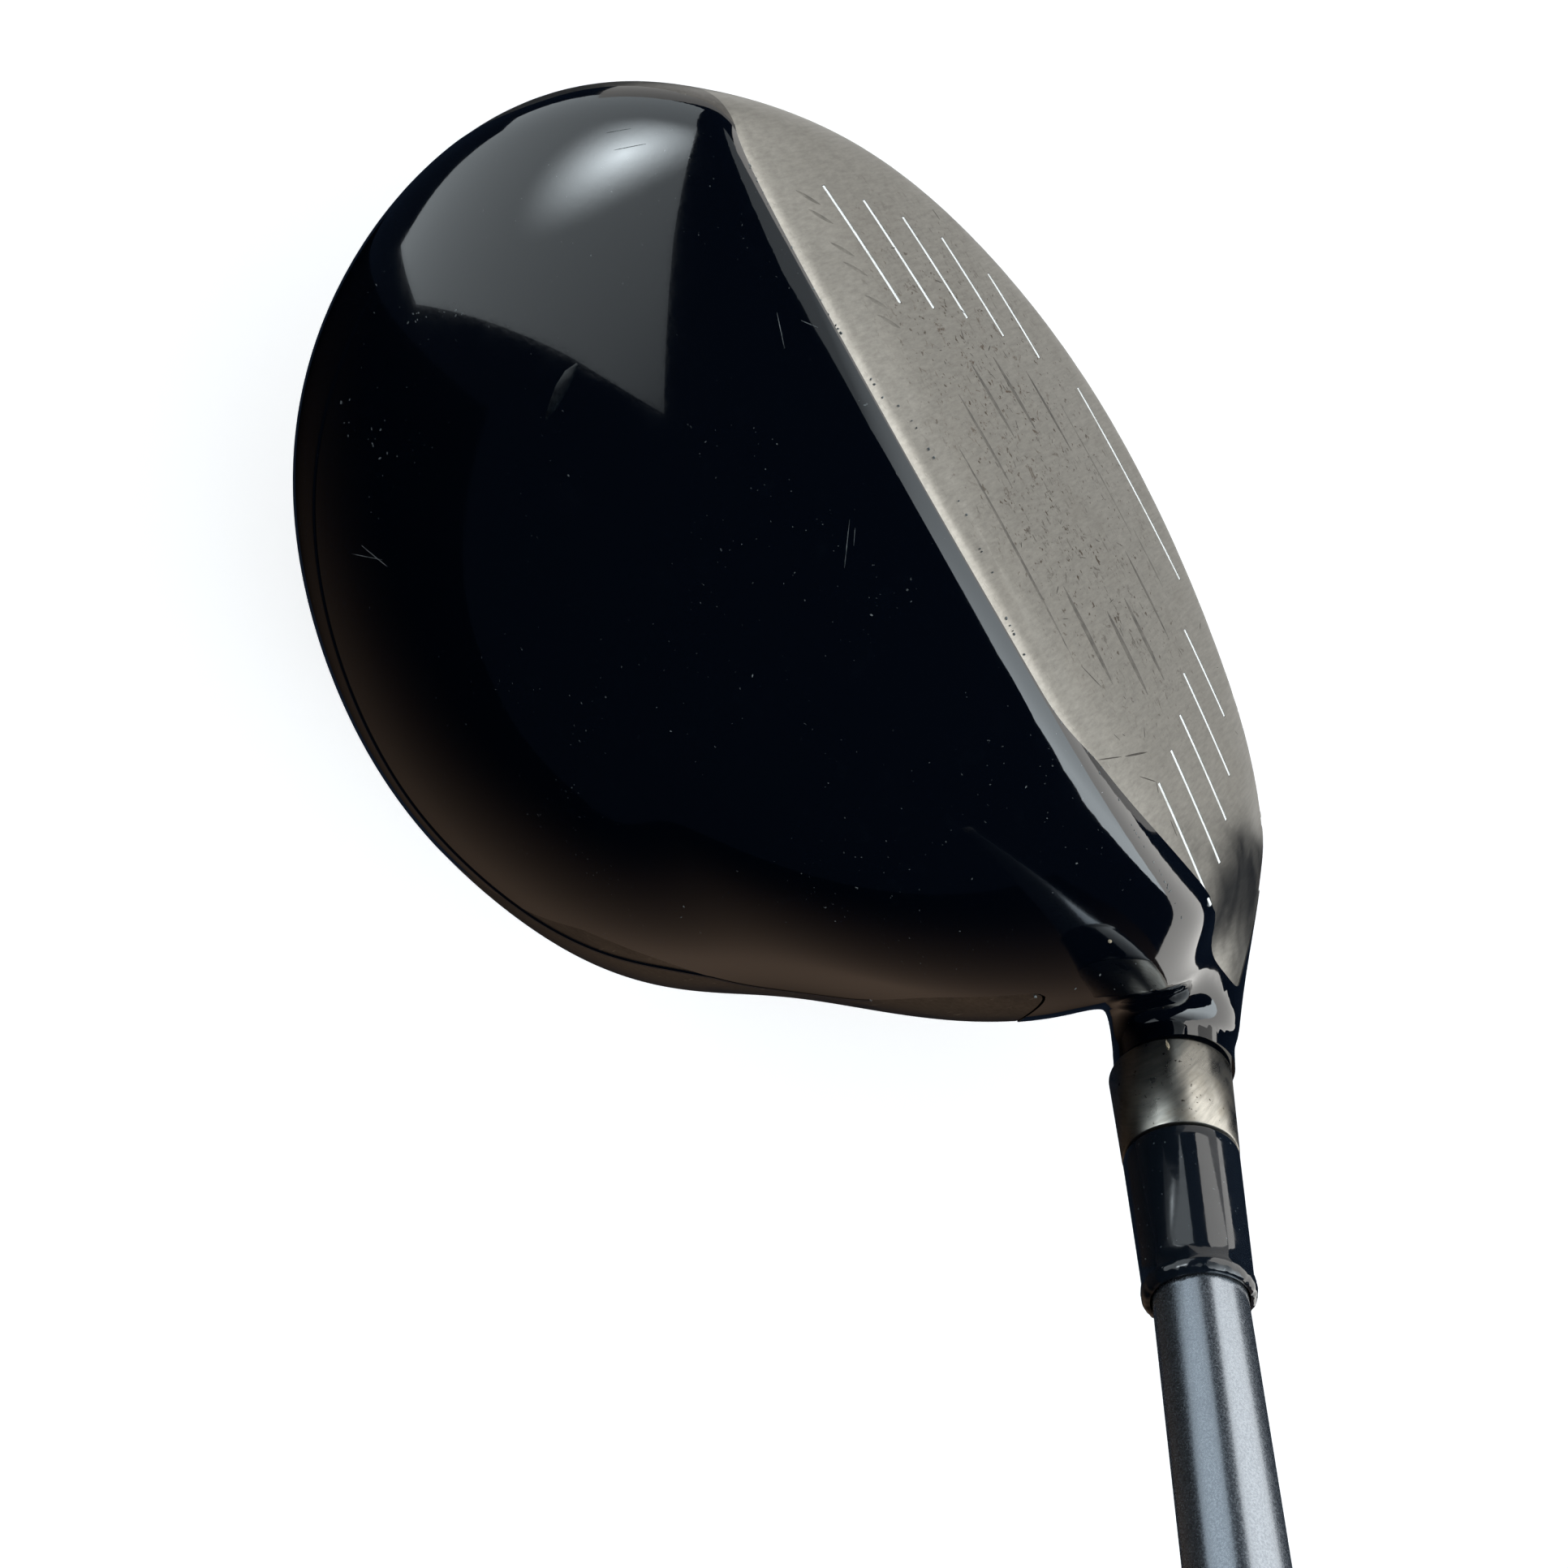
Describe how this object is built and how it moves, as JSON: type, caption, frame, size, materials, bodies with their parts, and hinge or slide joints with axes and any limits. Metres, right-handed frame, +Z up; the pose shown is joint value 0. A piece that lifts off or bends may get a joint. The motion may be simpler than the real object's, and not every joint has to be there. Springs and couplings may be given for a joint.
{
  "type": "golf driver",
  "caption": "Left-handed golf driver: hollow titanium head with a dark gloss crown, bare face with scorelines, bonded ferrule, tapered shaft and rubber grip.",
  "frame": {"origin": "centre of the flat spot on the sole, where the club rests at address", "axes": "+Z up from the ground; -Y is the way the face looks; +X towards the toe; the shaft leans up towards -X"},
  "size_m": [0.6872, 0.092, 0.9928],
  "materials": {
    "crown_paint": "deep navy-black gloss",
    "face_titanium": "fine brushed titanium",
    "sole_satin": "dark satin metal",
    "badge_metal": "satin",
    "hot_melt": "tacky glue",
    "weight_metal": "cast",
    "score_paint": "white paint fill",
    "hosel_metal": "turned satin",
    "ferrule_plastic": "polished black",
    "shaft_paint": "metallic gunmetal blue-grey, semi-gloss",
    "plug_cork": "cork",
    "pin_brass": "turned",
    "grip_tape": "paper tape",
    "grip_rubber": "matte moulded rubber"
  },
  "bodies": {
    "root": {"crown_shell": "crown_paint", "face_plate": "face_titanium", "sole_shell": "sole_satin", "sole_badge": "badge_metal", "hot_melt_pad": "hot_melt", "rear_weight_pad": "weight_metal", "score_fill_toe_1": "score_paint", "score_fill_heel_1": "score_paint", "score_fill_toe_2": "score_paint", "score_fill_heel_2": "score_paint", "score_fill_toe_3": "score_paint", "score_fill_heel_3": "score_paint", "score_fill_toe_4": "score_paint", "score_fill_heel_4": "score_paint", "score_fill_toe_5": "score_paint", "score_fill_heel_5": "score_paint", "score_fill_low": "score_paint", "hosel_tube": "hosel_metal", "ferrule": "ferrule_plastic", "shaft": "shaft_paint", "shaft_tip_plug": "plug_cork", "tip_weight_pin": "pin_brass", "grip_tape": "grip_tape", "grip": "grip_rubber", "grip_cap": "grip_rubber"}
  },
  "joints": []
}
